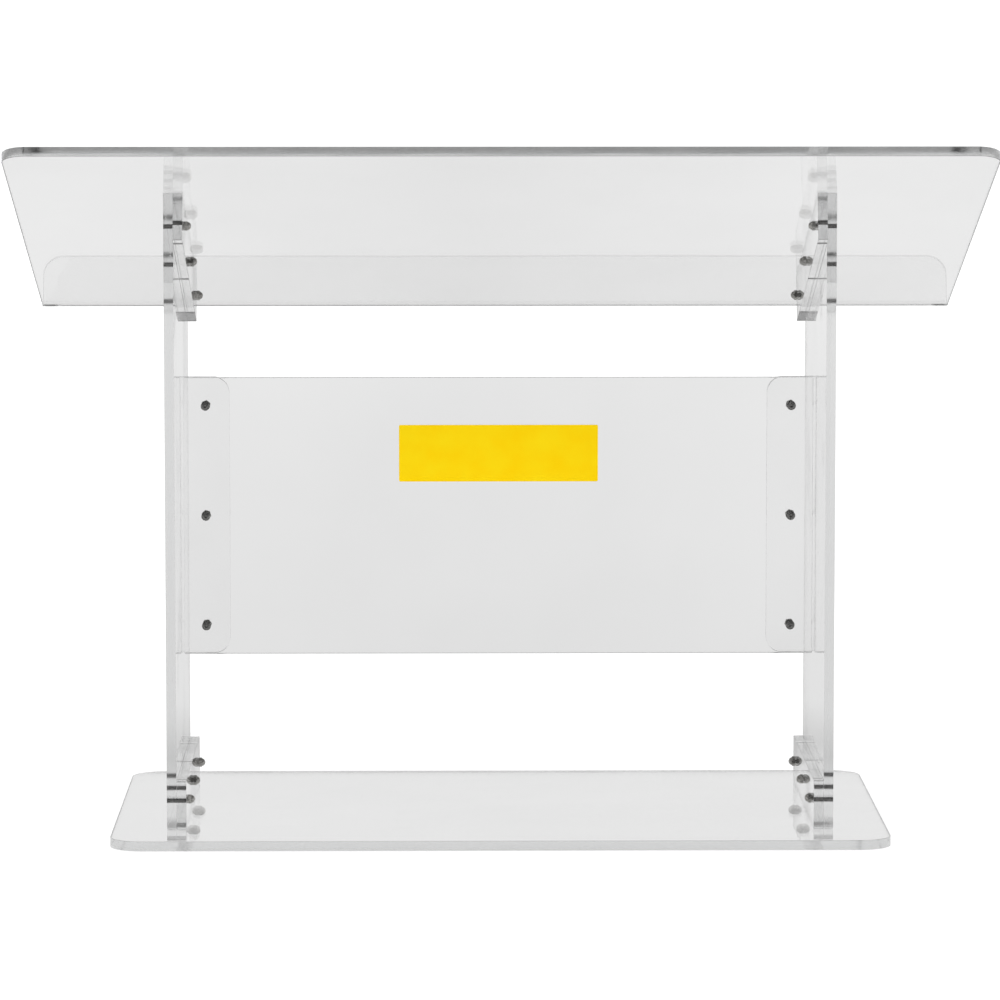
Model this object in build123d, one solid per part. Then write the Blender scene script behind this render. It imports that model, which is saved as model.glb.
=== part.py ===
from build123d import *
import math
import os

# Tabletop presentation lectern, knocked together from clear acrylic sheet with small steel screws.
# Frame: X across, Y from the audience (-Y) to the speaker (+Y), Z up.
# The origin is the centre of the base plate's underside. Left is -X and right is +X.

# Driving dimensions, in millimetres and degrees.
SHEET = 6.0
EDGE_BREAK = 0.4
JOINT_LINE = 0.05  # the film of air or cement between two pieces that meet

BASE_WIDTH = 480.0
BASE_DEPTH = 280.0
BASE_CORNER = 20.0

UPRIGHT_DEPTH = 190.0
UPRIGHT_OUTER_SPAN = 413.0

DESK_WIDTH = 600.0
DESK_LENGTH = 363.5
DESK_SLOPE = 18.4
DESK_OVERHANG = 75.5  # from the uprights' front edge to the desk's high edge, measured level
DESK_HIGH_EDGE = 425.5  # height of the underside along the high edge
DESK_CORNER = 15.0

LIP_HEIGHT = 40.0  # outside, square to the desk
LIP_CORNER = 13.0
BEND_INNER = 2.5

CLEAT_HEIGHT = 30.0

PANEL_HEIGHT = 176.0
PANEL_BOTTOM = 103.0
PANEL_FRONT = 0.0  # the panel's front face, at the middle of the uprights
PANEL_SIDE_GAP = 1.0
STRIP_WIDTH = 30.0
STRIP_CORNER = 10.0

LABEL_WIDTH = 126.0
LABEL_HEIGHT = 36.0
LABEL_THICKNESS = 0.4
LABEL_CORNER = 1.0
LABEL_CENTRE = 231.0

# Fasteners: M3 set screws through the uprights and button-head screws through the panel, with low
# acorn nuts on all of them.
SCREWS_PER_JOINT = 3
BASE_SCREW_PITCH = 75.0
BASE_SCREW_RISE = 16.0  # above the base plate
DESK_SCREW_PITCH = 80.0  # measured level
DESK_SCREW_DROP = 15.4  # below the desk, square to it
PANEL_SCREW_PITCH = 70.0
PANEL_SCREW_INSET = 15.0  # from the upright's inner face
HOLE_RADIUS = 1.6
SHANK_RADIUS = 1.5
SHANK_TIP = 0.3
BUTTON_SHANK_LENGTH = 15.5
SET_SCREW_LENGTH = 16.0
SET_SCREW_PROUD = 0.5  # how far a set screw stands out of the upright
HEAD_RADIUS = 2.85
HEAD_HEIGHT = 1.65
HEAD_RIM = 0.3
HEAD_TOP_RADIUS = 1.35
BUTTON_SOCKET_FLATS = 2.0
BUTTON_SOCKET_DEPTH = 1.0
SET_SOCKET_FLATS = 1.5
SET_SOCKET_DEPTH = 1.6
NUT_FLATS = 5.5
NUT_HEX_HEIGHT = 2.3
NUT_HEIGHT = 4.4
NUT_DOME_RADIUS = 2.55
NUT_BORE_RADIUS = 1.55
NUT_BORE_DEPTH = 3.6
NUT_CORNER_ANGLE = 30.0
FASTENER_TURN = 23.0  # each fastener in a row is turned this much more than the last

# Worked out from the driving dimensions.
SLOPE = math.radians(DESK_SLOPE)
UPRIGHT_FRONT = -UPRIGHT_DEPTH / 2
UPRIGHT_REAR = UPRIGHT_DEPTH / 2
OUTER_FACE = UPRIGHT_OUTER_SPAN / 2
INNER_FACE = OUTER_FACE - SHEET
CLEAT_FACE = INNER_FACE - JOINT_LINE - SHEET
BASE_TOP = SHEET + JOINT_LINE  # where the pieces on the base plate start
DESK_HIGH_Y = UPRIGHT_FRONT - DESK_OVERHANG
PANEL_BACK = PANEL_FRONT + SHEET
STRIP_FRONT = PANEL_BACK + JOINT_LINE
STRIP_BACK = STRIP_FRONT + SHEET
PANEL_MIDDLE = PANEL_BOTTOM + PANEL_HEIGHT / 2

# The desk's own plane: x across, y down the slope towards the speaker, z square to the sheet.
DESK_PLANE = Plane(
    origin=(0, DESK_HIGH_Y, DESK_HIGH_EDGE),
    x_dir=(1, 0, 0),
    z_dir=(0, math.sin(SLOPE), math.cos(SLOPE)),
)


def underside(y):
    """Height of the desk's underside at y."""
    return DESK_HIGH_EDGE - (y - DESK_HIGH_Y) * math.tan(SLOPE)


def below_desk(y, drop=JOINT_LINE):
    """Height at y of the line that lies drop below the desk's underside, square to it."""
    return underside(y) - drop / math.cos(SLOPE)


def outline_edges(sheet, axis):
    """The edges all round the two flat faces of a sheet that lies square to axis."""
    edges = ShapeList()
    for face in sheet.faces().filter_by(axis):
        edges += face.outer_wire().edges()
    return edges


def side_sheet(corners, inner_x):
    """A sheet square to X whose inner face is at inner_x, from its (y, z) corners, with broken edges."""
    profile = make_face(Plane.YZ * Polyline(*corners, close=True))
    sheet = Pos(inner_x, 0, 0) * extrude(profile, SHEET, dir=(1, 0, 0))
    return chamfer(outline_edges(sheet, Axis.X), EDGE_BREAK)


def on_desk(along, across):
    """The (y, z) place a distance down the slope from the high edge, and a height square to the underside."""
    y = DESK_HIGH_Y + along * math.cos(SLOPE) + across * math.sin(SLOPE)
    return y, DESK_HIGH_EDGE - along * math.sin(SLOPE) + across * math.cos(SLOPE)


def row_of_three(pitch):
    """Offsets of a row of screws about its middle."""
    middle = (SCREWS_PER_JOINT - 1) / 2
    return [(index - middle) * pitch for index in range(SCREWS_PER_JOINT)]


def base_screw_places():
    """The (y, z) places of the screws through an upright and its base cleat."""
    return [(y, SHEET + BASE_SCREW_RISE) for y in row_of_three(BASE_SCREW_PITCH)]


def desk_screw_places():
    """The (y, z) places of the screws through an upright and its desk cleat."""
    return [(y, below_desk(y, DESK_SCREW_DROP)) for y in row_of_three(DESK_SCREW_PITCH)]


def panel_screw_heights():
    """The heights of the screws through the panel and one of its strips."""
    return [PANEL_MIDDLE + offset for offset in row_of_three(PANEL_SCREW_PITCH)]


def drill_side(sheet, places):
    """Clearance holes along X through a right-hand sheet."""
    for y, z in places:
        drill = Plane(origin=(INNER_FACE, y, z), z_dir=(1, 0, 0))
        sheet -= drill * Cylinder(HOLE_RADIUS, 4 * SHEET)
    return sheet


def drill_panel(sheet, x):
    """Clearance holes along Y in a column at x."""
    for z in panel_screw_heights():
        drill = Plane(origin=(x, PANEL_BACK, z), z_dir=(0, 1, 0))
        sheet -= drill * Cylinder(HOLE_RADIUS, 4 * SHEET)
    return sheet


def base_plate():
    """The rounded plate that the lectern stands on."""
    plate = Pos(0, 0, SHEET / 2) * Box(BASE_WIDTH, BASE_DEPTH, SHEET)
    plate = fillet(plate.edges().filter_by(Axis.Z), BASE_CORNER)
    return chamfer(outline_edges(plate, Axis.Z), EDGE_BREAK)


def upright():
    """Right upright: a side wall that stands on the base, its top cut to the desk's slope."""
    corners = [
        (UPRIGHT_FRONT, BASE_TOP),
        (UPRIGHT_REAR, BASE_TOP),
        (UPRIGHT_REAR, below_desk(UPRIGHT_REAR)),
        (UPRIGHT_FRONT, below_desk(UPRIGHT_FRONT)),
    ]
    return drill_side(side_sheet(corners, INNER_FACE), base_screw_places() + desk_screw_places())


def base_cleat():
    """Right base cleat: a strip bonded to the base plate along the upright's inner face."""
    corners = [
        (UPRIGHT_FRONT, BASE_TOP),
        (UPRIGHT_REAR, BASE_TOP),
        (UPRIGHT_REAR, BASE_TOP + CLEAT_HEIGHT),
        (UPRIGHT_FRONT, BASE_TOP + CLEAT_HEIGHT),
    ]
    return drill_side(side_sheet(corners, CLEAT_FACE), base_screw_places())


def desk_cleat():
    """Right desk cleat: a strip with square ends, bonded under the desk along the upright's inner face."""
    start = DESK_OVERHANG / math.cos(SLOPE)
    end = start + UPRIGHT_DEPTH / math.cos(SLOPE)
    top = -JOINT_LINE
    bottom = top - CLEAT_HEIGHT
    corners = [on_desk(start, bottom), on_desk(end, bottom), on_desk(end, top), on_desk(start, top)]
    return drill_side(side_sheet(corners, CLEAT_FACE), desk_screw_places())


def desk_panel():
    """The sloping desk, one sheet with its low edge bent up into the lip that stops papers."""
    bend_outer = BEND_INNER + SHEET
    lip_inside = DESK_LENGTH - SHEET
    bend_line = DESK_LENGTH - bend_outer
    outside = Polyline((bend_line, 0), (0, 0), (0, SHEET), (bend_line, SHEET))
    inner_bend = RadiusArc((bend_line, SHEET), (lip_inside, bend_outer), -BEND_INNER)
    lip = Polyline(
        (lip_inside, bend_outer),
        (lip_inside, LIP_HEIGHT),
        (DESK_LENGTH, LIP_HEIGHT),
        (DESK_LENGTH, bend_outer),
    )
    outer_bend = RadiusArc((DESK_LENGTH, bend_outer), (bend_line, 0), bend_outer)
    section = make_face(Plane.YZ * (outside + inner_bend + lip + outer_bend))
    sheet = extrude(section, DESK_WIDTH / 2, dir=(1, 0, 0), both=True)
    high_corners = sheet.edges().filter_by(Axis.Z).filter_by_position(Axis.Y, -1, 1)
    sheet = fillet(high_corners, DESK_CORNER)
    lip_corners = sheet.edges().filter_by(Axis.Y).filter_by(
        lambda edge: edge.center().Z > LIP_HEIGHT - EDGE_BREAK
    )
    sheet = fillet(lip_corners, LIP_CORNER)
    sheet = chamfer(sheet.edges().filter_by(is_desk_outline), EDGE_BREAK)
    return DESK_PLANE * sheet


def is_desk_outline(edge):
    """True for the edges of the desk's two faces: not the bend's lines, nor the short ones through the sheet."""
    centre = edge.center()
    across_sheet = abs(edge.length - SHEET) < EDGE_BREAK / 10
    bend_outer = BEND_INNER + SHEET
    in_bend = centre.Y > DESK_LENGTH - bend_outer - EDGE_BREAK and centre.Z < bend_outer + EDGE_BREAK
    bend_line = in_bend and edge.length > DESK_LENGTH
    return not across_sheet and not bend_line


def front_panel():
    """The modesty panel between the uprights."""
    width = 2 * (INNER_FACE - PANEL_SIDE_GAP)
    panel = Pos(0, PANEL_FRONT + SHEET / 2, PANEL_MIDDLE) * Box(width, SHEET, PANEL_HEIGHT)
    panel = chamfer(outline_edges(panel, Axis.Y), EDGE_BREAK)
    column = INNER_FACE - PANEL_SCREW_INSET
    return drill_panel(drill_panel(panel, column), -column)


def panel_strip():
    """Right panel strip: bonded edge-on to the upright's inner face, behind the front panel."""
    middle = (INNER_FACE - JOINT_LINE - STRIP_WIDTH / 2, STRIP_FRONT + SHEET / 2, PANEL_MIDDLE)
    strip = Pos(middle) * Box(STRIP_WIDTH, SHEET, PANEL_HEIGHT)
    free_edges = strip.edges().filter_by(Axis.Y).sort_by(Axis.X)[:2]
    strip = fillet(free_edges, STRIP_CORNER)
    strip = chamfer(outline_edges(strip, Axis.Y), EDGE_BREAK)
    return drill_panel(strip, INNER_FACE - PANEL_SCREW_INSET)


def front_label():
    """A blank generic label on the front of the panel."""
    outline = RectangleRounded(LABEL_WIDTH, LABEL_HEIGHT, LABEL_CORNER)
    back = PANEL_FRONT - JOINT_LINE
    face = Plane(origin=(0, back, LABEL_CENTRE), x_dir=(1, 0, 0), z_dir=(0, -1, 0))
    return face * extrude(outline, LABEL_THICKNESS)


def cut_socket(body, flats, depth, top):
    """Cut a hexagon socket down into a screw from its top."""
    hexagon = RegularPolygon(flats / 2, 6, major_radius=False)
    return body - Pos(0, 0, top - depth) * extrude(hexagon, depth + EDGE_BREAK)


def button_screw():
    """Button-head socket screw along Z: seat at 0, head above, shank below."""
    rim = Line((HEAD_RADIUS, 0), (HEAD_RADIUS, HEAD_RIM))
    dome = RadiusArc((HEAD_RADIUS, HEAD_RIM), (HEAD_TOP_RADIUS, HEAD_HEIGHT), -HEAD_RADIUS)
    closing = Polyline(
        (HEAD_TOP_RADIUS, HEAD_HEIGHT),
        (0, HEAD_HEIGHT),
        (0, -BUTTON_SHANK_LENGTH),
        (SHANK_RADIUS - SHANK_TIP, -BUTTON_SHANK_LENGTH),
        (SHANK_RADIUS, SHANK_TIP - BUTTON_SHANK_LENGTH),
        (SHANK_RADIUS, 0),
        (HEAD_RADIUS, 0),
    )
    body = revolve(make_face(Plane.XZ * (rim + dome + closing)), Axis.Z)
    return cut_socket(body, BUTTON_SOCKET_FLATS, BUTTON_SOCKET_DEPTH, HEAD_HEIGHT)


def set_screw():
    """Set screw along Z: its socket end stands a little above 0, the rest is below."""
    body = Pos(0, 0, SET_SCREW_PROUD - SET_SCREW_LENGTH / 2) * Cylinder(SHANK_RADIUS, SET_SCREW_LENGTH)
    body = chamfer(body.edges().filter_by(GeomType.CIRCLE), SHANK_TIP)
    return cut_socket(body, SET_SOCKET_FLATS, SET_SOCKET_DEPTH, SET_SCREW_PROUD)


def acorn_nut():
    """Low acorn nut along Z: seat at 0, dome above, blind bore from below."""
    corner_radius = NUT_FLATS / math.sqrt(3)
    corner_rise = (corner_radius - NUT_FLATS / 2) * math.tan(math.radians(NUT_CORNER_ANGLE))
    dome_height = NUT_HEIGHT - NUT_HEX_HEIGHT
    dome_curve = (NUT_DOME_RADIUS**2 + dome_height**2) / (2 * dome_height)
    turned_sides = Polyline(
        (0, NUT_HEIGHT),
        (0, 0),
        (NUT_FLATS / 2, 0),
        (corner_radius, corner_rise),
        (corner_radius, NUT_HEX_HEIGHT - corner_rise),
        (NUT_FLATS / 2, NUT_HEX_HEIGHT),
        (NUT_DOME_RADIUS, NUT_HEX_HEIGHT),
    )
    dome = RadiusArc((NUT_DOME_RADIUS, NUT_HEX_HEIGHT), (0, NUT_HEIGHT), -dome_curve)
    turned = revolve(make_face(Plane.XZ * (turned_sides + dome)), Axis.Z)
    hexagon = extrude(RegularPolygon(NUT_FLATS / 2, 6, major_radius=False), NUT_HEIGHT)
    bore = Pos(0, 0, NUT_BORE_DEPTH / 2) * Cylinder(NUT_BORE_RADIUS, NUT_BORE_DEPTH)
    return (turned & hexagon) - bore


def fastened(node, screw, places):
    """A screw and an acorn nut for each place, which gives the screw's plane and the nut's plane."""
    pieces = {}
    for index, (screw_plane, nut_plane) in enumerate(places, start=1):
        turn = Rot(0, 0, index * FASTENER_TURN)
        pieces[f"{node}_screw_{index}"] = screw_plane * turn * screw
        pieces[f"{node}_nut_{index}"] = nut_plane * turn * acorn_nut()
    return pieces


def side_fasteners(node, side, places):
    """Set screws through an upright and a cleat, with the nuts inside."""
    planes = []
    for y, z in places:
        outside = Plane(origin=(side * OUTER_FACE, y, z), z_dir=(side, 0, 0))
        nut = Plane(origin=(side * (CLEAT_FACE - JOINT_LINE), y, z), z_dir=(-side, 0, 0))
        planes.append((outside, nut))
    return fastened(node, set_screw(), planes)


def panel_fasteners(node, side):
    """Button-head screws through the front panel and a strip, with the heads towards the audience."""
    column = side * (INNER_FACE - PANEL_SCREW_INSET)
    planes = []
    for z in panel_screw_heights():
        head = Plane(origin=(column, PANEL_FRONT - JOINT_LINE, z), z_dir=(0, -1, 0))
        nut = Plane(origin=(column, STRIP_BACK + JOINT_LINE, z), z_dir=(0, 1, 0))
        planes.append((head, nut))
    return fastened(node, button_screw(), planes)


def lectern():
    """Every piece of the lectern, by node name."""
    pieces = {
        "base_plate": base_plate(),
        "desk_panel": desk_panel(),
        "front_panel": front_panel(),
        "front_label": front_label(),
    }
    for name, side in (("left", -1), ("right", 1)):
        for node, make in (
            ("upright", upright),
            ("base_cleat", base_cleat),
            ("desk_cleat", desk_cleat),
            ("panel_strip", panel_strip),
        ):
            piece = make()
            pieces[f"{name}_{node}"] = piece if side > 0 else mirror(piece, about=Plane.YZ)
        pieces |= side_fasteners(f"{name}_base", side, base_screw_places())
        pieces |= side_fasteners(f"{name}_desk", side, desk_screw_places())
        pieces |= panel_fasteners(f"{name}_panel", side)
    return pieces


os.makedirs("parts", exist_ok=True)
for name, piece in lectern().items():
    export_step(piece, f"parts/{name}.step")
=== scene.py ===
import math

import bpy
from mathutils import Matrix, Vector
from mathutils.geometry import tessellate_polygon


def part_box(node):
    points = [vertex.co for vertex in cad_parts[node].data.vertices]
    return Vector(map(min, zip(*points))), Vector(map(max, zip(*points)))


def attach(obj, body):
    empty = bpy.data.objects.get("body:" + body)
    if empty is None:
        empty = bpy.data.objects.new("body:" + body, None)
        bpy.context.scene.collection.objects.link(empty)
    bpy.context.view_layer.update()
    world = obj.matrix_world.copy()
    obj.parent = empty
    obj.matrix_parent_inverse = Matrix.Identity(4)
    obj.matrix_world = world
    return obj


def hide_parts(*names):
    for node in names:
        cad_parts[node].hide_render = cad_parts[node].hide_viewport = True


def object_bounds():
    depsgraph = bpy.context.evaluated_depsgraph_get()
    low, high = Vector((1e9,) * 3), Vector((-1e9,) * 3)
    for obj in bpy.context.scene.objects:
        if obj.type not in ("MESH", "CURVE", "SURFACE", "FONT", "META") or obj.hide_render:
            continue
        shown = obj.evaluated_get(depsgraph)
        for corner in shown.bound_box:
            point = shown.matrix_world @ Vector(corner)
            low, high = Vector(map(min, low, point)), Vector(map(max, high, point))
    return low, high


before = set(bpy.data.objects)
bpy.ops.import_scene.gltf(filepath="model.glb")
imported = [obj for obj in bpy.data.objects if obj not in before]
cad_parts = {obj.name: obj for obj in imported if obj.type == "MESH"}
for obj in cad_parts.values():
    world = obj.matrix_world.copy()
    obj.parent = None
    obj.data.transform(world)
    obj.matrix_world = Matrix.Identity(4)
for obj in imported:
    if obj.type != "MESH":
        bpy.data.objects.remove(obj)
cad_low, cad_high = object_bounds()

# A clear acrylic tabletop lectern. Everything is in metres, in the CAD model's frame: X across, Y from
# the audience (-Y) to the speaker (+Y), Z up.

# Camera: in front of the audience's side, a little left of the middle, looking slightly down.
CAMERA_PLACE = (-0.0394, -3.3517, 0.5492)
CAMERA_PITCH = math.radians(5.928)
CAMERA_YAW = math.radians(0.690)
CAMERA_LENS = 191.35
CAMERA_FAR = 400.0

# Sheets.
SHEET = 0.006
EDGE_ROUND = 0.0002  # the small round along every edge
CUT_CORNER = 0.0006  # the nearly sharp corners of an outline
BASE_CORNER = 0.020
DESK_CORNER = 0.015
LIP_CORNER = 0.013
STRIP_CORNER = 0.010
LABEL_CORNER = 0.001
LABEL_EDGE = 0.0001
BOND = 0.0001  # how far a cemented face sinks past its own box, into the piece it is bonded to
HOLE_RADIUS = 0.0013  # a tapped hole: the threads of the 3 mm screws are sunk in its wall
DESK_LENGTH = 0.3635
DESK_HIGH_EDGE = (0, -0.1705, 0.4255)  # the middle of the underside's high edge
SLOPE = math.radians(18.4)
LIP_HEIGHT = 0.040
BEND_INNER = 0.0025
ROUND_STEPS = 4
CORNER_STEPS = 24
BEND_STEPS = 20
HOLE_STEPS = 32

# Fasteners.
TURN_STEPS = 48
THREAD_STEPS = 24
THREAD_ROWS = 6  # rows of points to each turn of a thread
DOME_STEPS = 12
CHAMFER_STEPS = 5
SHARP_ANGLE = math.radians(32)
SHANK_RADIUS = 0.0015
SHANK_TIP = 0.0003
THREAD_PITCH = 0.0005
THREAD_DEPTH = 0.00018
HEAD_RADIUS = 0.00285
HEAD_HEIGHT = 0.00165
HEAD_RIM = 0.0003
HEAD_EDGE = 0.0001
HEAD_TOP_RADIUS = 0.00135
BUTTON_SOCKET = (0.0020, 0.0010)  # across flats, depth
SET_SOCKET = (0.0015, 0.0016)
SOCKET_CONE = 1 / 6  # height of the cone at a socket's bottom, in widths across flats
NUT_FLATS = 0.0055
NUT_HEX_HEIGHT = 0.0023
NUT_HEIGHT = 0.0044
NUT_DOME_RADIUS = 0.00255
NUT_CHAMFER = math.radians(30)
NUT_BORE = (0.00155, 0.0036)  # radius, depth
BORE_MOUTH = (1.15, 1 / 4)  # radius and depth of the bore's wider mouth, in bore radii
BORE_CONE = 1 / 3  # height of the cone at the bore's end, in bore radii
FASTENER_TURN = math.radians(23)  # how much further each fastener of a row is turned

# Finishes. A pair is the range that a finish varies over.
NOISE_SPAN = (0.3, 0.7)  # the part of a noise's range that most of it is in
WEAR_SPAN = (0.35, 0.70)
ACRYLIC_IOR = 1.49
ACRYLIC_ABSORPTION = (0.35, 0.37, 0.37, 1)
SMUDGE_TINT = (0.995, 0.965)
HAIRLINE_LENGTH = 30.0  # times its width
HAIRLINE_ROUGHNESS = 0.12
EDGE_HAZE = (0.06, 0.14)  # roughness left by the saw and the polish on cut edges
WAVE_RELIEF = 20.0
POLISH_RELIEF = 0.6
SCREW_COLOUR = (0.18, 0.178, 0.174)
SCREW_ROUGHNESS = 0.30
NUT_COLOUR = (0.34, 0.335, 0.32)
NUT_ROUGHNESS = 0.25
STEEL_SHADES = (0.75, 1.35)
STEEL_POLISH = (0.7, 1.4)
LABEL_COLOURS = ((1.0, 0.66, 0.0, 1), (1.0, 0.72, 0.004, 1))
LABEL_ROUGHNESS = (0.32, 0.42)
LABEL_SPECULAR = 0.05

# The surroundings: what is seen directly is white, and what the acrylic shows is a little darker.
BACKGROUND = 1.55
HORIZON = 1.0
ZENITH = 0.44
CEILING_SPAN = (0.22, 0.47)  # a ray's Z where the room turns from the horizon's level to the zenith's
AUDIENCE = 0.2  # the dark of the room straight in front, against its sides
AUDIENCE_SPAN = (-0.95, -0.5)  # a ray's Y from the darkest to the sides' level
# The table's glow in the clear sheets along Y, as (y, level): the dip near 0.3 m is a painted shadow of
# the lectern.
TABLE_GLOW_PAINTED_SHADOW = ((-0.6, 0.70), (-0.1, 0.83), (0.12, 0.83), (0.3, 0.62), (0.5, 0.76), (1.2, 0.78), (4.0, 0.82))
TABLE_SPAN = (-1.0, 4.0)
ASIDE_SPAN = (0.0, 0.8)  # distance to the side, from the painted shade in the middle to where the table is lightest
ASIDE_PAINTED_SHADE_LEVELS = (0.955, 1.03)
TABLE_DULL = 0.02  # the table as the clear sheets show it
FLOOR_GLOW = 0.74  # the same table as it is seen directly
FLOOR_DULL = 0.30
FLOOR_HALF = 60.0
FLOOR_GAP = 0.0001
KEY_PLACE = (-0.8, -1.2, 2.2)
KEY_AIM = (0, 0, 0.2)
KEY_SIZE = 1.5
KEY_WATTS = 4
BOUNCES = 32
CLEAR_BOUNCES = 24

SQUARE_TO_X = Matrix(((0, 0, 1, 0), (1, 0, 0, 0), (0, 1, 0, 0), (0, 0, 0, 1)))
SQUARE_TO_Y = Matrix(((1, 0, 0, 0), (0, 0, -1, 0), (0, 1, 0, 0), (0, 0, 0, 1)))


def make_camera():
    """The viewpoint: a long lens, looking down a little."""
    data = bpy.data.cameras.new("camera")
    data.lens = CAMERA_LENS
    data.clip_end = CAMERA_FAR
    camera = bpy.data.objects.new("camera", data)
    camera.location = CAMERA_PLACE
    camera.rotation_euler = (math.pi / 2 - CAMERA_PITCH, 0, -CAMERA_YAW)
    bpy.context.collection.objects.link(camera)
    bpy.context.scene.camera = camera


def add_piece(name, mesh):
    """An object that stands for the CAD node of the same name."""
    piece = bpy.data.objects.new(name + "_piece", mesh)
    bpy.context.collection.objects.link(piece)
    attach(piece, "root")
    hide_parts(name)


# ---- Sheet meshes ----


def arc(centre, radius, start, turn, steps):
    """Points on an arc, each with the direction square to it: (x, y, normal x, normal y)."""
    points = []
    for step in range(steps + 1):
        angle = start + turn * step / steps
        x, y = math.cos(angle), math.sin(angle)
        points.append((centre[0] + radius * x, centre[1] + radius * y, x, y))
    return points


def rounded(corners, radii):
    """The outline of a convex shape, given anticlockwise, with each corner rounded to its radius."""
    outline = []
    for index, (corner, radius) in enumerate(zip(corners, radii)):
        here = Vector(corner)
        back = (Vector(corners[index - 1]) - here).normalized()
        ahead = (Vector(corners[(index + 1) % len(corners)]) - here).normalized()
        turn = math.pi - back.angle(ahead)
        centre = here + (back + ahead).normalized() * radius / math.cos(turn / 2)
        start = math.atan2(-ahead.x, ahead.y) - turn
        steps = CORNER_STEPS if radius > CUT_CORNER else ROUND_STEPS
        outline += arc(centre, radius, start, turn, steps)
    return outline


def hole(centre):
    """A round hole's outline, clockwise, with normals that point into the hole."""
    circle_points = arc(centre, HOLE_RADIUS, 0, -math.tau, HOLE_STEPS)[:-1]
    return [(x, y, -nx, -ny) for x, y, nx, ny in circle_points]


def edge_profile(thickness, edge):
    """The rings from one face of a sheet to the other: (inset, height, normal out, normal up)."""
    rings = []
    for middle, first in ((edge, -math.pi / 2), (thickness - edge, 0)):
        for step in range(ROUND_STEPS + 1):
            angle = first + math.pi / 2 * step / ROUND_STEPS
            out, up = math.cos(angle), math.sin(angle)
            rings.append((edge * (1 - out), middle + edge * up, out, up))
    return rings


def cap_faces(rings, points, rows, looks_up):
    """The faces that close a sheet's rings on one side, turned to look up or down."""
    if rows:
        ring, half = rings[0], len(rings[0]) // 2
        cap = [(ring[i], ring[i + 1], ring[-i - 2], ring[-i - 1]) for i in range(half - 1)]
    else:
        flat = [index for ring in rings for index in ring]
        outlines = [[points[index].xy.to_3d() for index in ring] for ring in rings]
        cap = [tuple(flat[i] for i in corner) for corner in tessellate_polygon(outlines)]
    faces = []
    for face in cap:
        across = (points[face[1]] - points[face[0]]).cross(points[face[2]] - points[face[1]]).z
        faces.append(face if (across > 0) == looks_up else tuple(reversed(face)))
    return faces


def sheet_piece(name, loops, thickness, place, material, edge=EDGE_ROUND, rows=False, warp=None):
    """A sheet with rounded edges. The first loop is its outline and the others are holes. With rows,
    the outline goes up one side and back down the other, and its faces are strips from side to side."""
    points, normals, faces = [], [], []
    profile = edge_profile(thickness, edge)
    first_rings, last_rings = [], []
    for loop in loops:
        start, count = len(points), len(loop)
        for inset, height, out, up in profile:
            points += [Vector((x - nx * inset, y - ny * inset, height)) for x, y, nx, ny in loop]
            normals += [Vector((nx * out, ny * out, up)) for x, y, nx, ny in loop]
        for ring in range(len(profile) - 1):
            low, high = start + ring * count, start + (ring + 1) * count
            for index in range(count):
                after = (index + 1) % count
                faces.append((low + index, low + after, high + after, high + index))
        first_rings.append(range(start, start + count))
        last_rings.append(range(len(points) - count, len(points)))
    is_edge = [1.0] * len(faces)
    faces += cap_faces(first_rings, points, rows, False)
    faces += cap_faces(last_rings, points, rows, True)
    is_edge += [0.0] * (len(faces) - len(is_edge))
    if warp:
        points, normals = zip(*(warp(point, normal) for point, normal in zip(points, normals)))
    mesh = bpy.data.meshes.new(name)
    mesh.from_pydata([place @ point for point in points], [], faces)
    turned = place.to_3x3()
    mesh.shade_smooth()
    mesh.normals_split_custom_set_from_vertices([turned @ normal for normal in normals])
    mesh.attributes.new("cut_edge", "FLOAT", "FACE").data.foreach_set("value", is_edge)
    mesh.materials.append(material)
    add_piece(name, mesh)


def rectangle(low, high, axes, radii):
    """The rounded outline of a box seen along its thickness, with radii from the low corner round."""
    (x0, y0), (x1, y1) = [(corner[axes[0]], corner[axes[1]]) for corner in (low, high)]
    return rounded([(x0, y0), (x1, y0), (x1, y1), (x0, y1)], radii)


def screw_holes(prefixes, axes):
    """A hole for each screw whose node starts with one of the prefixes, at the middle of its box."""
    holes = []
    for node in sorted(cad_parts):
        if "_screw_" in node and node.startswith(prefixes):
            low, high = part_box(node)
            centre = (low + high) / 2
            holes.append(hole((centre[axes[0]], centre[axes[1]])))
    return holes


# ---- Sheets ----


def make_base(material):
    low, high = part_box("base_plate")
    outline = rectangle(low, high, (0, 1), [BASE_CORNER] * 4)
    sheet_piece("base_plate", [outline], SHEET, Matrix.Translation((0, 0, low.z)), material)


def make_desk(material):
    """The desk, built as its flat blank and then bent, as the real one is."""
    bend_outer = BEND_INNER + SHEET
    bend_start = DESK_LENGTH - bend_outer
    bend_length = (BEND_INNER + SHEET / 2) * math.pi / 2
    blank = bend_start + bend_length + LIP_HEIGHT - bend_outer
    low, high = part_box("desk_panel")
    half = (high.x - low.x) / 2

    def warp(point, normal):
        turn = min(max((point.y - bend_start) / bend_length, 0), 1) * math.pi / 2
        radius = bend_outer - point.z
        beyond = max(point.y - bend_start - bend_length, 0)
        y = min(point.y, bend_start) + radius * math.sin(turn)
        z = bend_outer - radius * math.cos(turn) + beyond
        return Vector((point.x, y, z)), Matrix.Rotation(turn, 3, "X") @ normal

    right = arc((half - DESK_CORNER, DESK_CORNER), DESK_CORNER, -math.pi / 2, math.pi / 2, CORNER_STEPS)
    for step in range(BEND_STEPS + 1):
        right.append((half, bend_start + bend_length * step / BEND_STEPS, 1, 0))
    right += arc((half - LIP_CORNER, blank - LIP_CORNER), LIP_CORNER, 0, math.pi / 2, CORNER_STEPS)
    left = [(-x, y, -nx, ny) for x, y, nx, ny in reversed(right)]
    place = Matrix.Translation(DESK_HIGH_EDGE) @ Matrix.Rotation(-SLOPE, 4, "X")
    sheet_piece("desk_panel", [right + left], SHEET, place, material, rows=True, warp=warp)


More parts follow.
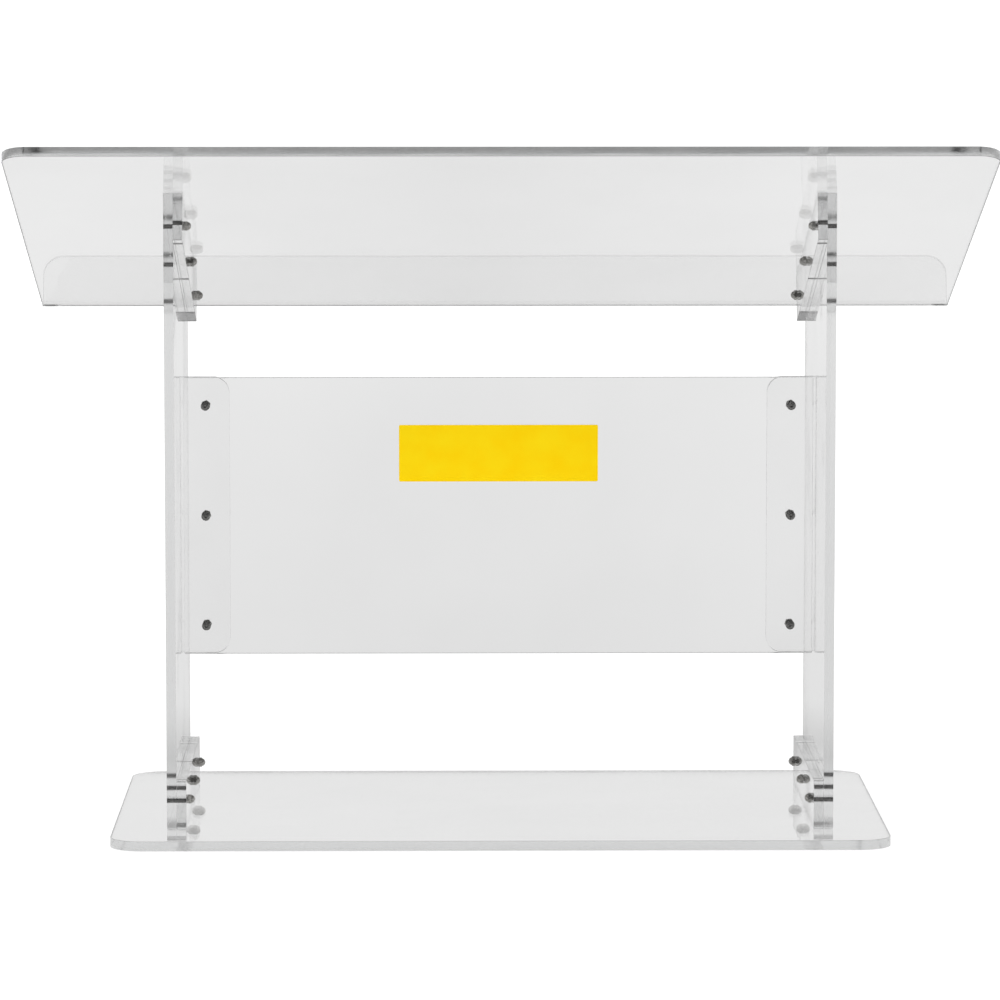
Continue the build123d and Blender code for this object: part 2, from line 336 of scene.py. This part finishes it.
def make_front_panel(material):
    low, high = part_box("front_panel")
    outline = rectangle(low, high, (0, 2), [CUT_CORNER] * 4)
    place = Matrix.Translation((0, high.y, 0)) @ SQUARE_TO_Y
    holes = screw_holes(("left_panel", "right_panel"), (0, 2))
    sheet_piece("front_panel", [outline] + holes, SHEET, place, material)


def make_upright(side, material):
    """A side wall whose top follows the desk's slope."""
    name = f"{side}_upright"
    low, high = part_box(name)
    rear_top = high.z - (high.y - low.y) * math.tan(SLOPE)
    corners = [(low.y, low.z), (high.y, low.z), (high.y, rear_top), (low.y, high.z)]
    holes = screw_holes((f"{side}_base", f"{side}_desk"), (1, 2))
    place = Matrix.Translation((low.x, 0, 0)) @ SQUARE_TO_X
    sheet_piece(name, [rounded(corners, [CUT_CORNER] * 4)] + holes, SHEET, place, material)


def make_base_cleat(side, material):
    """A strip that stands on the base plate, cemented to it."""
    name = f"{side}_base_cleat"
    low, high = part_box(name)
    low.z -= BOND
    outline = rectangle(low, high, (1, 2), [CUT_CORNER] * 4)
    place = Matrix.Translation((low.x, 0, 0)) @ SQUARE_TO_X
    sheet_piece(name, [outline] + screw_holes((f"{side}_base",), (1, 2)), SHEET, place, material)


def make_desk_cleat(side, material):
    """A strip cemented under the desk: a rectangle at the desk's slope, sized from its box."""
    name = f"{side}_desk_cleat"
    low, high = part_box(name)
    wide, tall = high.y - low.y, high.z - low.z
    sine, cosine = math.sin(SLOPE), math.cos(SLOPE)
    height = (tall * cosine - wide * sine) / math.cos(2 * SLOPE)
    length = (wide * cosine - tall * sine) / math.cos(2 * SLOPE)
    near_low = Vector((low.y, high.z - height * cosine))
    along = Vector((cosine, -sine)) * length
    up = Vector((sine, cosine)) * (height + BOND)
    corners = [near_low, near_low + along, near_low + along + up, near_low + up]
    holes = screw_holes((f"{side}_desk",), (1, 2))
    place = Matrix.Translation((low.x, 0, 0)) @ SQUARE_TO_X
    sheet_piece(name, [rounded(corners, [CUT_CORNER] * 4)] + holes, SHEET, place, material)


def make_panel_strip(side, material):
    """A strip behind the front panel, cemented edge-on to an upright and rounded at its free corners."""
    name = f"{side}_panel_strip"
    low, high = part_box(name)
    if side == "left":
        low.x -= BOND
        radii = [CUT_CORNER, STRIP_CORNER, STRIP_CORNER, CUT_CORNER]
    else:
        high.x += BOND
        radii = [STRIP_CORNER, CUT_CORNER, CUT_CORNER, STRIP_CORNER]
    outline = rectangle(low, high, (0, 2), radii)
    place = Matrix.Translation((0, high.y, 0)) @ SQUARE_TO_Y
    sheet_piece(name, [outline] + screw_holes((f"{side}_panel",), (0, 2)), SHEET, place, material)


def make_label(material):
    low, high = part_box("front_label")
    outline = rectangle(low, high, (0, 2), [LABEL_CORNER] * 4)
    place = Matrix.Translation((0, high.y, 0)) @ SQUARE_TO_Y
    sheet_piece("front_label", [outline], high.y - low.y, place, material, edge=LABEL_EDGE)


# ---- Fasteners, turned about Z and then put in place ----


def circle(radius):
    """The same distance from the axis at every angle."""
    return lambda angle: radius


def hexagon(flats, limit=math.inf):
    """Distance to a hexagon's sides, never more than a limit, as where a corner is turned off."""
    def radius(angle):
        off_flat = (angle + math.pi / 6) % (math.pi / 3) - math.pi / 6
        return min(flats / 2 / math.cos(off_flat), limit)
    return radius


def bulge(start, end, radius):
    """Rows along an outward arc between two places, each given as (reach, height)."""
    start, end = Vector(start), Vector(end)
    chord = end - start
    inward = Vector((-chord.y, chord.x)).normalized()
    centre = (start + end) / 2 + inward * math.sqrt(radius**2 - chord.length_squared / 4)
    first = math.atan2(start.y - centre.y, start.x - centre.x)
    last = math.atan2(end.y - centre.y, end.x - centre.x)
    rows = []
    for step in range(DOME_STEPS + 1):
        angle = first + (last - first) * step / DOME_STEPS
        reach = centre.x + radius * math.cos(angle)
        rows.append((centre.y + radius * math.sin(angle), circle(reach)))
    return rows


def thread_rows(bottom, top):
    """The rows of a helical thread, each with the radius it has at that height."""
    rows = []
    count = round((top - bottom) / THREAD_PITCH * THREAD_ROWS)
    for row in range(count + 1):
        height = bottom + (top - bottom) * row / count
        fade = min(1, (height - bottom) / THREAD_PITCH, (top - height) / THREAD_PITCH)

        def radius(angle, height=height, fade=fade):
            turn = (height / THREAD_PITCH - angle / math.tau) % 1
            return SHANK_RADIUS - THREAD_DEPTH * fade * (1 - abs(2 * turn - 1))

        rows.append((height, radius))
    return rows


def socket_rows(socket, top):
    """Down into a hexagon socket, with a small cone at its bottom."""
    flats, depth = socket
    bottom = top - depth
    return [(top, hexagon(flats)), (bottom, hexagon(flats)), (bottom - flats * SOCKET_CONE, None)]


def set_screw_rows(length):
    """A set screw from its tip at 0 to its socket end."""
    rows = [(0, None), (0, circle(SHANK_RADIUS - SHANK_TIP))]
    rows += thread_rows(SHANK_TIP, length - SHANK_TIP)
    rows += [(length, circle(SHANK_RADIUS - SHANK_TIP))]
    return rows + socket_rows(SET_SOCKET, length)


def button_screw_rows(length):
    """A button-head screw from its tip at 0 to the top of its head."""
    seat = length - HEAD_HEIGHT
    rows = [(0, None), (0, circle(SHANK_RADIUS - SHANK_TIP))]
    rows += thread_rows(SHANK_TIP, seat - SHANK_TIP)
    rows += [(seat, circle(SHANK_RADIUS)), (seat, circle(HEAD_RADIUS - HEAD_EDGE))]
    rows += [(seat + HEAD_EDGE, circle(HEAD_RADIUS))]
    rows += bulge((HEAD_RADIUS, seat + HEAD_RIM), (HEAD_TOP_RADIUS, length), HEAD_RADIUS)
    return rows + socket_rows(BUTTON_SOCKET, length)


def acorn_nut_rows():
    """A low acorn nut from the end of its bore, down and out of its mouth, to the top of its dome."""
    bore, depth = NUT_BORE
    mouth_radius, mouth_depth = bore * BORE_MOUTH[0], bore * BORE_MOUTH[1]
    rows = [(depth + bore * BORE_CONE, None), (depth, circle(bore))]
    rows += [(mouth_depth, circle(bore)), (0, circle(mouth_radius))]
    inner, corner = NUT_FLATS / 2, NUT_FLATS / math.sqrt(3)
    reaches = [inner + (corner - inner) * step / CHAMFER_STEPS for step in range(CHAMFER_STEPS + 1)]
    chamfer = [((reach - inner) * math.tan(NUT_CHAMFER), hexagon(NUT_FLATS, reach)) for reach in reaches]
    rows += chamfer
    rows += [(NUT_HEX_HEIGHT - height, radius) for height, radius in reversed(chamfer)]
    rise = NUT_HEIGHT - NUT_HEX_HEIGHT
    curve = (NUT_DOME_RADIUS**2 + rise**2) / (2 * rise)
    dome = bulge((NUT_DOME_RADIUS, NUT_HEX_HEIGHT), (0, NUT_HEIGHT), curve)
    return rows + dome[:-1] + [(NUT_HEIGHT, None)]


def turned_piece(name, rows, place, material, steps=TURN_STEPS):
    """A closed piece from rows of (height, radius at each angle) between two points on its axis."""
    points = [Vector((0, 0, rows[0][0]))]
    for height, radius in rows[1:-1]:
        for step in range(steps):
            angle = math.tau * step / steps
            reach = radius(angle)
            points.append(Vector((reach * math.cos(angle), reach * math.sin(angle), height)))
    last = len(points)
    points.append(Vector((0, 0, rows[-1][0])))
    faces = []
    for step in range(steps):
        after = (step + 1) % steps
        faces.append((0, 1 + after, 1 + step))
        for row in range(len(rows) - 3):
            low, high = 1 + row * steps, 1 + (row + 1) * steps
            faces.append((low + step, low + after, high + after, high + step))
        faces.append((last - steps + step, last - steps + after, last))
    mesh = bpy.data.meshes.new(name)
    mesh.from_pydata([place @ point for point in points], [], faces)
    mesh.shade_smooth()
    mesh.set_sharp_from_angle(angle=SHARP_ANGLE)
    mesh.materials.append(material)
    add_piece(name, mesh)


def fastener_place(node, axis, outward, index):
    """Stand a piece that was turned about Z at the inward end of its box, pointing outward."""
    low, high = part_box(node)
    start = (low + high) / 2
    start[axis] = low[axis] if outward > 0 else high[axis]
    direction = Vector((0, 0, 0))
    direction[axis] = outward
    turn = direction.to_track_quat("Z", "Y").to_matrix().to_4x4()
    return Matrix.Translation(start) @ turn @ Matrix.Rotation(index * FASTENER_TURN, 4, "Z")


def make_fasteners(screw_material, nut_material):
    """Three screws and their nuts in each joint: base cleat, desk cleat and front panel."""
    for side, outward in (("left", -1), ("right", 1)):
        for joint in ("base", "desk", "panel"):
            axis, out = (1, -1) if joint == "panel" else (0, outward)
            screw_rows = button_screw_rows if joint == "panel" else set_screw_rows
            for index in range(1, 4):
                screw, nut = f"{side}_{joint}_screw_{index}", f"{side}_{joint}_nut_{index}"
                low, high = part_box(screw)
                rows = screw_rows(high[axis] - low[axis])
                place = fastener_place(screw, axis, out, index)
                turned_piece(screw, rows, place, screw_material, THREAD_STEPS)
                place = fastener_place(nut, axis, -out, index)
                turned_piece(nut, acorn_nut_rows(), place, nut_material)


# ---- Shader nodes ----


def new_tree(owner):
    """The empty node tree of a material or world."""
    owner.use_nodes = True
    owner.node_tree.nodes.clear()
    return owner.node_tree


def add(tree, kind, values=None, **settings):
    """A node with its input values, by name, and its settings."""
    node = tree.nodes.new(kind)
    for name, value in (values or {}).items():
        node.inputs[name].default_value = value
    for name, value in settings.items():
        setattr(node, name, value)
    return node


def noise(tree, scale, detail=2.0, stretch=None):
    """Noise in object space, finer along the axes where stretch is larger."""
    source = add(tree, "ShaderNodeTexCoord").outputs["Object"]
    if stretch:
        mapping = add(tree, "ShaderNodeMapping", {"Scale": stretch})
        tree.links.new(source, mapping.inputs["Vector"])
        source = mapping.outputs["Vector"]
    texture = add(tree, "ShaderNodeTexNoise", {"Scale": scale, "Detail": detail})
    tree.links.new(source, texture.inputs["Vector"])
    return texture.outputs["Fac"]


def ramp(tree, source, span, levels):
    """Turn a value's span, from its low to its high end, into levels from the first to the second."""
    values = {"From Min": span[0], "From Max": span[1], "To Min": levels[0], "To Max": levels[1]}
    node = add(tree, "ShaderNodeMapRange", values)
    tree.links.new(source, node.inputs["Value"])
    return node.outputs["Result"]


def combine(tree, operation, *values):
    """A maths operation on values, each a number or another node's output."""
    node = add(tree, "ShaderNodeMath", operation=operation)
    for socket, value in zip(node.inputs, values):
        if isinstance(value, (int, float)):
            socket.default_value = value
        else:
            tree.links.new(value, socket)
    return node.outputs[0]


def principled(name, values):
    """A new material with one Principled shader: the material, its tree, its output and the shader."""
    material = bpy.data.materials.new(name)
    tree = new_tree(material)
    out = add(tree, "ShaderNodeOutputMaterial")
    shader = add(tree, "ShaderNodeBsdfPrincipled", values)
    tree.links.new(shader.outputs[0], out.inputs["Surface"])
    return material, tree, out, shader


def add_bump(tree, shader, height, strength, distance):
    bump = add(tree, "ShaderNodeBump", {"Strength": strength, "Distance": distance})
    tree.links.new(height, bump.inputs["Height"])
    tree.links.new(bump.outputs[0], shader.inputs["Normal"])


# ---- Materials ----


def acrylic():
    """Clear acrylic: hairline scratches, faint smudges, hazy cut edges and slight waves from casting."""
    values = {"IOR": ACRYLIC_IOR, "Transmission Weight": 1.0}
    material, tree, out, shader = principled("clear_acrylic", values)
    edge = add(tree, "ShaderNodeAttribute", attribute_name="cut_edge").outputs["Fac"]

    smudge = ramp(tree, noise(tree, 9.0, 4.0), WEAR_SPAN, SMUDGE_TINT)
    tint = add(tree, "ShaderNodeCombineColor")
    for channel in ("Red", "Green", "Blue"):
        tree.links.new(smudge, tint.inputs[channel])
    tree.links.new(tint.outputs[0], shader.inputs["Base Color"])

    along_x = noise(tree, 40.0, 3.0, (1.0, HAIRLINE_LENGTH, HAIRLINE_LENGTH))
    along_y = noise(tree, 40.0, 3.0, (HAIRLINE_LENGTH, 1.0, HAIRLINE_LENGTH))
    scratch = ramp(tree, along_x, (0.70, 0.74), (0.0, 1.0))
    crossing = ramp(tree, along_y, (0.72, 0.76), (0.0, 1.0))
    hairlines = combine(tree, "MULTIPLY", combine(tree, "MAXIMUM", scratch, crossing), HAIRLINE_ROUGHNESS)
    haze = combine(tree, "MULTIPLY", ramp(tree, noise(tree, 25.0, 3.0), NOISE_SPAN, EDGE_HAZE), edge)
    tree.links.new(combine(tree, "ADD", hairlines, haze), shader.inputs["Roughness"])

    polish = combine(tree, "MULTIPLY", noise(tree, 900.0), edge)
    waves = combine(tree, "MULTIPLY", noise(tree, 14.0, 1.0), WAVE_RELIEF)
    height = combine(tree, "ADD", waves, combine(tree, "MULTIPLY", polish, POLISH_RELIEF))
    add_bump(tree, shader, height, 0.35, 0.00001)

    volume = add(tree, "ShaderNodeVolumeAbsorption", {"Color": ACRYLIC_ABSORPTION, "Density": 1.0})
    tree.links.new(volume.outputs[0], out.inputs["Volume"])
    return material


def plated_steel(name, colour, roughness):
    """Dark plated steel with fine turning marks and handling wear."""
    material, tree, out, shader = principled(name, {"Metallic": 1.0})
    shade = add(tree, "ShaderNodeVectorMath", operation="SCALE")
    shade.inputs[0].default_value = colour
    tree.links.new(ramp(tree, noise(tree, 700.0, 4.0), WEAR_SPAN, STEEL_SHADES), shade.inputs["Scale"])
    tree.links.new(shade.outputs[0], shader.inputs["Base Color"])
    levels = [roughness * polish for polish in STEEL_POLISH]
    tree.links.new(ramp(tree, noise(tree, 1500.0, 3.0), NOISE_SPAN, levels), shader.inputs["Roughness"])
    add_bump(tree, shader, noise(tree, 4000.0), 0.3, 0.00002)
    return material


def label_vinyl():
    """A plain yellow vinyl label with a slight mottle and orange-peel sheen."""
    material, tree, out, shader = principled("label_yellow", {"Specular IOR Level": LABEL_SPECULAR})
    mix = add(tree, "ShaderNodeMix", data_type="RGBA")
    mix.inputs["A"].default_value, mix.inputs["B"].default_value = LABEL_COLOURS
    tree.links.new(ramp(tree, noise(tree, 60.0, 3.0), NOISE_SPAN, (0.0, 1.0)), mix.inputs["Factor"])
    tree.links.new(mix.outputs["Result"], shader.inputs["Base Color"])
    tree.links.new(ramp(tree, noise(tree, 300.0), NOISE_SPAN, LABEL_ROUGHNESS), shader.inputs["Roughness"])
    add_bump(tree, shader, noise(tree, 1200.0), 0.15, 0.00002)
    return material


# ---- Studio ----


def plain_ray(tree):
    """1 for rays straight from the camera and for rays that light a dull surface."""
    path = add(tree, "ShaderNodeLightPath")
    return combine(tree, "MAXIMUM", path.outputs["Is Camera Ray"], path.outputs["Is Diffuse Ray"])


def make_world():
    """White behind the object, and a softer grey room with a dark ceiling in the clear sheets."""
    world = bpy.data.worlds.new("studio")
    bpy.context.scene.world = world
    tree = new_tree(world)
    out = add(tree, "ShaderNodeOutputWorld")
    seen = add(tree, "ShaderNodeBackground", {"Color": (1, 1, 1, 1), "Strength": BACKGROUND})
    around = add(tree, "ShaderNodeBackground")
    ray = add(tree, "ShaderNodeSeparateXYZ")
    tree.links.new(add(tree, "ShaderNodeTexCoord").outputs["Generated"], ray.inputs[0])
    level = ramp(tree, ray.outputs["Z"], CEILING_SPAN, (HORIZON, ZENITH))
    ahead = ramp(tree, ray.outputs["Y"], AUDIENCE_SPAN, (AUDIENCE, 1.0))
    tree.links.new(combine(tree, "MULTIPLY", level, ahead), around.inputs["Strength"])
    mix = add(tree, "ShaderNodeMixShader")
    tree.links.new(plain_ray(tree), mix.inputs[0])
    tree.links.new(around.outputs[0], mix.inputs[1])
    tree.links.new(seen.outputs[0], mix.inputs[2])
    tree.links.new(mix.outputs[0], out.inputs[0])


def table_painted_shade_level(tree):
    """How light the table looks in the clear sheets: a painted soft shadow behind the lectern, and painted
    shade in the middle that is lighter aside.
    """
    place = add(tree, "ShaderNodeSeparateXYZ")
    tree.links.new(add(tree, "ShaderNodeNewGeometry").outputs["Position"], place.inputs[0])
    curve = add(tree, "ShaderNodeValToRGB")
    stops = curve.color_ramp.elements
    while len(stops) < len(TABLE_GLOW_PAINTED_SHADOW):
        stops.new(1.0)
    near, far = TABLE_SPAN
    for stop, (y, level) in zip(stops, TABLE_GLOW_PAINTED_SHADOW):
        stop.position = (y - near) / (far - near)
        stop.color = (level, level, level, 1)
    # Painted shadow of the lectern along Y.
    tree.links.new(ramp(tree, place.outputs["Y"], TABLE_SPAN, (0, 1)), curve.inputs[0])
    # Painted shade: the table's glow is darker in the middle and lighter to the sides.
    aside = ramp(tree, combine(tree, "ABSOLUTE", place.outputs["X"]), ASIDE_SPAN, ASIDE_PAINTED_SHADE_LEVELS)
    return combine(tree, "MULTIPLY", curve.outputs[0], aside)


def glow_and_dull(tree, glow, dull):
    """A surface that gives some light, a number or another node's output, and takes a little shade."""
    light = add(tree, "ShaderNodeEmission")
    if isinstance(glow, float):
        light.inputs["Strength"].default_value = glow
    else:
        tree.links.new(glow, light.inputs["Strength"])
    surface = add(tree, "ShaderNodeBsdfDiffuse", {"Color": (dull, dull, dull, 1)})
    both = add(tree, "ShaderNodeAddShader")
    tree.links.new(light.outputs[0], both.inputs[0])
    tree.links.new(surface.outputs[0], both.inputs[1])
    return both.outputs[0]


def make_floor():
    """A white table top: seen directly, evenly white with only a faint contact shadow; in the clear
    sheets, a glow with a painted shadow behind the lectern.
    """
    material = bpy.data.materials.new("floor")
    tree = new_tree(material)
    out = add(tree, "ShaderNodeOutputMaterial")
    mix = add(tree, "ShaderNodeMixShader")
    tree.links.new(add(tree, "ShaderNodeLightPath").outputs["Is Camera Ray"], mix.inputs[0])
    # Rays that are not camera rays see the table's glow with its painted shadow.
    tree.links.new(glow_and_dull(tree, table_painted_shade_level(tree), TABLE_DULL), mix.inputs[1])
    tree.links.new(glow_and_dull(tree, FLOOR_GLOW, FLOOR_DULL), mix.inputs[2])
    tree.links.new(mix.outputs[0], out.inputs[0])
    mesh = bpy.data.meshes.new("floor")
    half = FLOOR_HALF
    corners = [(-half, -half, 0), (half, -half, 0), (half, half, 0), (-half, half, 0)]
    mesh.from_pydata(corners, [], [(0, 1, 2, 3)])
    mesh.materials.append(material)
    floor = bpy.data.objects.new("floor", mesh)
    bpy.context.collection.objects.link(floor)
    floor.location.z = cad_low.z - FLOOR_GAP


def make_light():
    """One large soft lamp, up in front and to the left."""
    data = bpy.data.lights.new("key", "AREA")
    data.size = KEY_SIZE
    data.energy = KEY_WATTS
    key = bpy.data.objects.new("key", data)
    key.location = KEY_PLACE
    key.rotation_euler = (Vector(KEY_AIM) - key.location).to_track_quat("-Z", "Y").to_euler()
    bpy.context.collection.objects.link(key)


def set_light_paths():
    """Enough bounces for light that runs the length of a clear sheet, and plain display colours."""
    scene = bpy.context.scene
    scene.view_settings.view_transform = "Standard"
    scene.cycles.max_bounces = BOUNCES
    scene.cycles.glossy_bounces = CLEAR_BOUNCES
    scene.cycles.transmission_bounces = CLEAR_BOUNCES


set_light_paths()
make_camera()
clear = acrylic()
make_base(clear)
make_desk(clear)
make_front_panel(clear)
for side in ("left", "right"):
    make_upright(side, clear)
    make_base_cleat(side, clear)
    make_desk_cleat(side, clear)
    make_panel_strip(side, clear)
make_label(label_vinyl())
screw_steel = plated_steel("screw_steel", SCREW_COLOUR, SCREW_ROUGHNESS)
nut_steel = plated_steel("nut_steel", NUT_COLOUR, NUT_ROUGHNESS)
make_fasteners(screw_steel, nut_steel)
make_world()
make_floor()
make_light()
